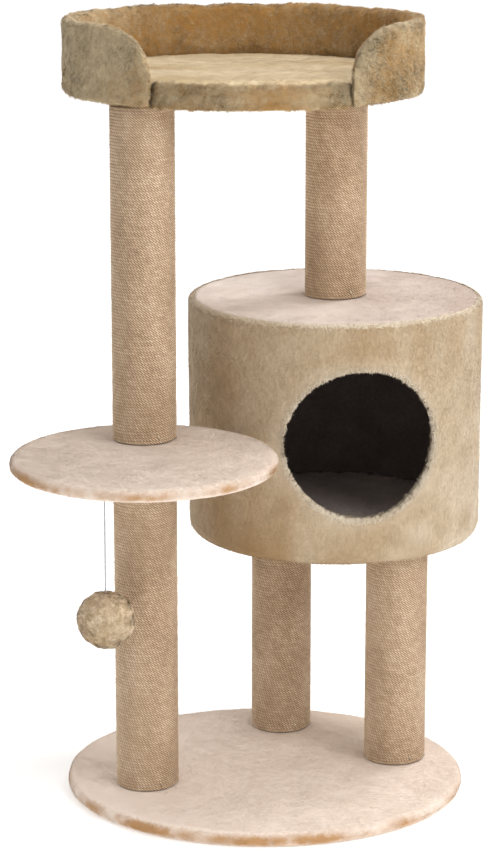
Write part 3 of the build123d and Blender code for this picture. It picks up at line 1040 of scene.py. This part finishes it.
def painted_light_on_wall(points, normals):
    """Painted light: paler at the wall's two ends, on its rolled top in front, and on the left."""
    front = np.clip((-normals[:, 1] - 0.2) * 1.2, 0, 1) * (points[:, 1] < FRONT_Y)
    mouth = np.clip(1 - np.minimum(np.abs(points[:, 0] - MOUTH_LEFT),
                                   np.abs(points[:, 0] - MOUTH_RIGHT)) / (26 * MM), 0, 1)
    top_left = np.clip(-(points[:, 0] + 150 * MM) / (60 * MM), 0, 1) * np.clip(
        (points[:, 2] - 940 * MM) / (30 * MM), 0, 1)
    rolled = np.clip(normals[:, 2] * 1.3 - 0.3, 0, 1) * (points[:, 1] < 0)
    left = np.clip(-(points[:, 0] + 130 * MM) / (80 * MM), 0, 1)
    left = left * (0.8 + 0.4 * uneven(points, 0.05, 67))
    outer = (normals[:, :2] * out_of_bed(points)).sum(axis=1) > -0.2
    pale = np.maximum.reduce([0.9 * front * mouth, 0.6 * top_left * (normals[:, 1] < 0.3),
                              0.7 * rolled, left * (points[:, 1] < BED_Y) * outer])
    return pale + tufty(points, 69)


wall_paints = {"warm": warm_shade_and_gold, "pale_and_lit": painted_light_on_wall}
shade_skin(wall, wall_paints)
print("wall golden on", round(100 * (warm_shade_and_gold(*points_of(wall)) > 0.5).mean()), "% of it")

# %% [markdown]
# The bed's plush is the longest on the tree.  Its blades take less of their shading from
# the cloth and more from themselves, so single tufts can be made out.

# %% Pile on the bed's wall
WALL_BLADES = 160000
wall_pile = grow_pile("bed_wall_pile", wall, WALL_BLADES, 5.2 * MM, 1.2 * MM,
                      brushed((0.9, 0.2, -0.8), 0.35, 0.05, 63), (0.38,), 0.8, 63,
                      keep=lambda p, n: np.where(n[:, 2] > -0.5, 1.0, 0.1),
                      paints=wall_paints, clump=0.35, clump_size=0.006, soft=0.42)
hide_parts("bed_wall_cover")
wear([wall, wall_pile], bed_plush)
print("wall pile", len(wall_pile.data.polygons), "blades")

# %% [markdown]
# ## The bed's floor
#
# One cover is drawn over board and foam and shows at the front as a thick lip.  The pad
# swells like the wall, with its lower edge held.  A tight cover also gets long shallow
# folds from side to side.  A simulation would need a very fine mesh for those, so they
# are added as stretched noise.

# %% Bed floor
HELD_BELOW = 22 * MM         # the cover is held from this far under the floor's top
pad = upholster("bed_floor_padding", ["bed_floor_cover", "bed_board", "bed_floor_foam"],
                PAD_VOXEL, 7, -0.3 * MM, 0.0, 0.06, 71)
puff(pad, lambda p, n: (p[:, 2] < floor_top - HELD_BELOW).astype(float), cap=4 * MM)


def crease(points):
    """Long shallow folds from side to side, where the cover is drawn tight."""
    return 1.1 * MM * uneven(points * [0.1, 1, 1], 0.034, 72)


pad_points, pad_normals = points_of(pad)
pad_points[:, 2] += crease(pad_points) * np.clip(pad_normals[:, 2], 0, 1)
set_points(pad, pad_points)
print("floor pad", len(pad.data.vertices), "points")

# %% [markdown]
# The floor is brushed flat and pale.  Its front lip is bent over the board's edge, where
# the plush opens and stands up, so the lip has the longer golden pile of the wall.

# %% Floor and lip
pad_paints = {"warm": lambda p, n: np.maximum(
    rim_gold(1.0, 73)["warm"](p, n), 0.2 + 0.7 * uneven(p * [0.1, 1, 1], 0.03, 74))}
shade_skin(pad, pad_paints)
FLOOR_HALF = (217 * MM, 172 * MM)


def on_lip(points, normals):
    """The floor's front edge, from its rolled top downwards."""
    from_middle = np.hypot((points[:, 0] - bed_middle[0]) / FLOOR_HALF[0],
                           (points[:, 1] - BED_Y) / FLOOR_HALF[1])
    front = (points[:, 1] < FRONT_Y) & (from_middle > 0.93)
    return (front & (normals[:, 2] < 0.93) & (normals[:, 2] > -0.3)).astype(float)


FLOOR_BLADES, LIP_BLADES = 130000, 60000
pad_pile = grow_pile("bed_floor_pile", pad, FLOOR_BLADES, 4.6 * MM, 0.9 * MM,
                     brushed((1, -0.2, 0), 0.2, 0.08, 73), (0.1,), 0.7, 73, clump=0.15,
                     keep=lambda p, n: np.where(n[:, 2] > -0.4, 1.0, 0.1) * (1 - on_lip(p, n)),
                     paints=pad_paints)
# The lip is paler in random streaks and tufts, and painted paler on its upward faces as a painted
# highlight.
lip_paints = {"warm": lambda p, n: 0.5 + 0.5 * uneven(p * [0.5, 1, 1], 0.035, 76)
              + 0.3 * uneven(p, 0.006, 78),
              "pale_and_lit": lambda p, n: 0.2 + 0.3 * uneven(p * [0.6, 1, 1], 0.03, 77)
              + 0.5 * np.clip(n[:, 2], 0, 1) + tufty(p, 79)}
lip_pile = grow_pile("bed_lip_pile", pad, LIP_BLADES, 5.6 * MM, 1.25 * MM,
                     brushed((0.9, 0, -0.6), 0.4, 0.05, 75), (0.35,), 0.9, 75, keep=on_lip,
                     paints=lip_paints, clump=0.3, clump_size=0.006, soft=0.4)
wear([lip_pile], bed_plush)
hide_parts("bed_floor_cover", "bed_floor_foam")
wear([pad, pad_pile], nest_plush)
print("floor and lip", len(pad_pile.data.polygons) + len(lip_pile.data.polygons), "blades")

# %% [markdown]
# ## Rope
#
# Sisal rope is three strands twisted together, wound tight from one end of the tube to the
# other.  It could be a bump in a material on a plain tube, but then the post's outline
# would be straight.  Here one long strip follows the helix.  Its section is half round,
# and its cross lines lean as the strands do, so that of every three one stands up as a
# strand and one sinks as the gap.

# %% Wind the rope
ROPE_PITCH = 3.9 * MM
ROPE_DEEP = 0.8 * MM
STRAND_STEPS = 3             # cross lines in a strand: crest, slope and gap
STRAND_HEIGHTS = (0.55, 0.0, -0.6)
STRAND_SLANT = 1.1
STEPS_A_TURN = 190
ACROSS = 5
POST_WIDE = 80 * MM


def wind_rope(post, seed):
    node = f"{post}_sisal"
    low, high = corners(node)
    centre = (low + high) / 2
    radius = (high[0] - low[0]) / 2
    turns = (high[2] - low[2]) / ROPE_PITCH
    count = int(turns * STEPS_A_TURN)
    draw = np.random.default_rng(seed)
    step = np.arange(count + 1)
    strand = step // STRAND_STEPS
    strands = strand[-1] + 1
    stand = np.array(STRAND_HEIGHTS)[step % STRAND_STEPS] * MM
    stand = stand * (0.88 + 0.24 * draw.random(strands))[strand]
    tone = draw.random(strands)[strand]
    u = np.linspace(-0.5, 0.5, ACROSS)
    turn = step / STEPS_A_TURN
    wobble = 0.25 * MM * uneven(np.stack([turn * 0.9, turn * 0, turn * 0], axis=1), 1.0, seed)
    angle = 2 * math.pi * turn[:, None] - STRAND_SLANT * u[None, :] * ROPE_PITCH / radius
    profile = ROPE_DEEP * (1 - np.sqrt(np.clip(1 - (1.96 * u) ** 2, 0, 1)))
    crown = np.clip(1 - (2 * u) ** 2, 0, 1)
    out = radius - 0.4 * MM - profile[None, :] + stand[:, None] * crown[None, :] + wobble[:, None]
    z = low[2] + (turn[:, None] + u[None, :] * 1.02) * ROPE_PITCH
    z = np.clip(z, low[2], high[2])
    points = np.stack([centre[0] + out * np.cos(angle), centre[1] + out * np.sin(angle), z],
                      axis=2).reshape(-1, 3)
    i = np.arange(count)[:, None] * ACROSS + np.arange(ACROSS - 1)[None, :]
    faces = np.stack([i, i + ACROSS, i + ACROSS + 1, i + 1], axis=2).reshape(-1, 4)
    rope = mesh_piece(f"{post}_rope", points, faces)
    paint(rope, "tone", np.repeat(tone, ACROSS))
    deep = profile[None, :] / ROPE_DEEP * 0.35 + (0.25 - stand[:, None] / MM) * 0.9
    paint(rope, "groove", np.clip(deep, 0, 1).ravel())
    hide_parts(node)
    wear([rope], sisal)
    return len(faces)


print("rope", round(ROPE_PITCH / MM, 1), "mm a turn, strands",
      round(math.pi * POST_WIDE / MM * STRAND_STEPS / STEPS_A_TURN, 1), "mm apart")

# %% [markdown]
# All five posts are wound the same way, each from its own sisal node and with its own
# seed, so that no two show the same fibres side by side.

# %% Five posts
posts = ["left_lower_post", "left_upper_post", "back_lower_post", "right_lower_post",
         "right_upper_post"]
for number, post in enumerate(posts):
    print(post, "rope faces", wind_rope(post, 100 + number))

# %% [markdown]
# ## The ball
#
# The ball is short yarn on a small turned core.  Yarn lies every way, so its lay is pure
# noise and not a brushed direction.  The skin under it is lumpy, which makes the tufts,
# and the blades lie close, because blades that stand up would show dark backs at the
# ball's edge.

# %% Ball
ball = upholster("ball_fluff_core", ["ball_pile", "ball_core", "cord_end_knot"], 2 * MM, 4,
                 2.2 * MM, 1.2 * MM, 0.006, 81)
ball_paints = {"warm": lambda p, n: 0.5 * np.clip(uneven(p, 0.025, 82) - n[:, 2] * 0.8, 0, 1)
               + 0.5 * uneven(p, 3.5 * MM, 86)}
shade_skin(ball, ball_paints)


def whorl(points, normals):
    return np.stack([uneven(points, 6 * MM, s) for s in (83, 84, 85)], axis=1)


YARN_ENDS = 40000
ball_fluff = grow_pile("ball_fluff", ball, YARN_ENDS, 5 * MM, 1.1 * MM, whorl, (0.3, 0.1), 0.9, 87,
                       clump=0.4, clump_size=3.5 * MM, paints=ball_paints, soft=0.5)
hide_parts("ball_pile")
wear([ball, ball_fluff], ball_yarn, "ball")
print("ball", np.round(np.array(ball.dimensions) / MM), "mm")

# %% [markdown]
# The cord was made at the start.  It rides with the ball, its top end stays in the loop
# under the perch, and its real length was printed when it was made.

# %% Hang the ball
ball_cord.data.materials.append(stock["grey_cord"])
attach(ball_cord, "ball")
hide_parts("cord")
print("ball hung")

# %% [markdown]
# ## Light
#
# The tree stands on a wide white floor in a bright pale room.  A shop would light such a
# floor by itself so that it stays white under the tree's shadow, and a weak glow in the
# floor's finish does the same here.

# %% Floor and room
FLOOR_REACH = 20.0           # metres each way
FLOOR_GLOW = 0.25
SKY = 1.0
square = np.array([[-1, -1, 0], [1, -1, 0], [1, 1, 0], [-1, 1, 0]])
floor = mesh_piece("floor", square * FLOOR_REACH, [[0, 1, 2, 3]])
floor_finish, floor_tree, floor_shader = finish("pale_floor", 0.9)
floor_tint = ramp(floor_tree, noise_in(floor_tree, 3.0), [(0.3, (0.9, 0.9, 0.9)),
                                                           (0.7, (0.92, 0.92, 0.92))])
floor_tree.links.new(floor_tint, floor_shader.inputs["Base Color"])
floor_shader.inputs["Emission Color"].default_value = (1, 1, 1, 1)
floor_shader.inputs["Emission Strength"].default_value = FLOOR_GLOW
floor.data.materials.append(floor_finish)

world = bpy.data.worlds.new("bright_room")
world.use_nodes = True
world.node_tree.nodes["Background"].inputs["Color"].default_value = (1, 1, 1, 1)
world.node_tree.nodes["Background"].inputs["Strength"].default_value = SKY
bpy.context.scene.world = world
bpy.context.scene.view_settings.view_transform = "Standard"
print("floor laid,", round(floor.dimensions.x), "m wide")

# %% [markdown]
# One large soft light stands in front on the right, and a smaller one high behind on the
# right puts each post's shadow on the deck below it.  A dark cloth, called a flag, stands
# on the left out of the camera's sight.  It takes light away from that side, which gives
# the round posts their shape.

# %% Lights and flag
def soft_light(name, place, aim, size, power):
    lamp_data = bpy.data.lights.new(name, "AREA")
    lamp_data.size, lamp_data.energy = size, power
    lamp = bpy.data.objects.new(name, lamp_data)
    lamp.location = place
    lamp.rotation_euler = (Vector(aim) - Vector(place)).to_track_quat("-Z", "Y").to_euler()
    bpy.context.scene.collection.objects.link(lamp)


soft_light("window_right", (2.2, -2.1, 2.6), (0, 0, 0.5), 1.8, 44)
soft_light("window_behind", (1.3, 0.9, 2.9), (0, 0, 0.5), 0.8, 34)

FLAG_X, FLAG_FRONT, FLAG_BACK, FLAG_LOW, FLAG_HIGH = -1.2, -1.1, 0.5, 0.6, 1.5
flag = mesh_piece("dark_flag", [(FLAG_X, FLAG_FRONT, FLAG_LOW), (FLAG_X, FLAG_BACK, FLAG_LOW),
                                (FLAG_X, FLAG_BACK, FLAG_HIGH), (FLAG_X, FLAG_FRONT, FLAG_HIGH)],
                  [[0, 1, 2, 3]])
flag.data.materials.append(mottled("flag_cloth", (0.03, 0.03, 0.03), (0.04, 0.04, 0.04), 40, 1.0))
flag.visible_camera = False
